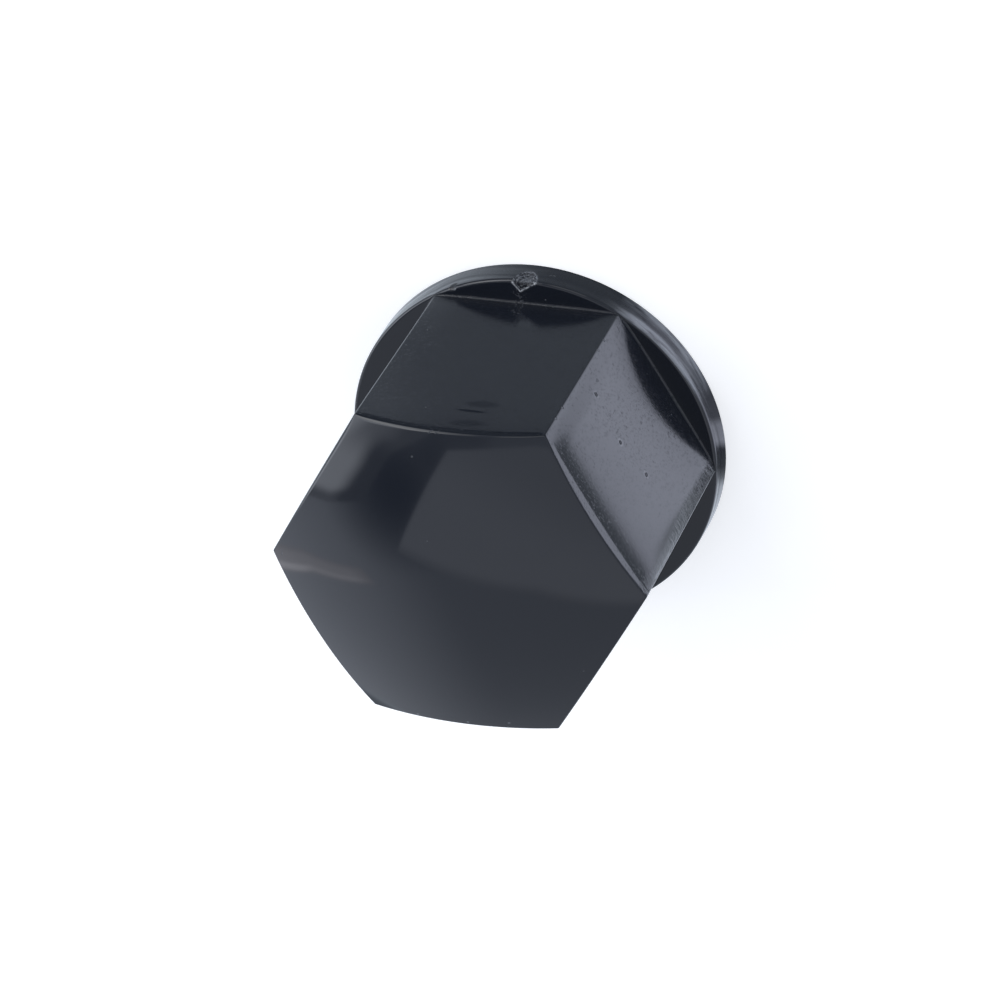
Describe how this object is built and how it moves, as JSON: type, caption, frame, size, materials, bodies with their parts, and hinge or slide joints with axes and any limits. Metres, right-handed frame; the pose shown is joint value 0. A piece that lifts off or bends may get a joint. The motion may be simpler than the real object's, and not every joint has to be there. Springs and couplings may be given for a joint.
{
  "type": "wheel nut cover cap",
  "caption": "Push-on hexagonal cover cap with a domed end, a round flange and a blind hexagonal socket that grips a wheel bolt head and hides it from dirt and rust.",
  "frame": {"origin": "centre of the flange's open face, which the cap stands on", "axes": "+Z along the cap's axis towards the domed end; two corners of the hexagon on the Y axis, two flats facing +X and -X; the gate scar is at -60 degrees from +X"},
  "size_m": [0.0234, 0.0234, 0.0201],
  "materials": {
    "black_plastic": "gloss black, as moulded"
  },
  "bodies": {
    "root": {"cap": "black_plastic"}
  },
  "joints": []
}
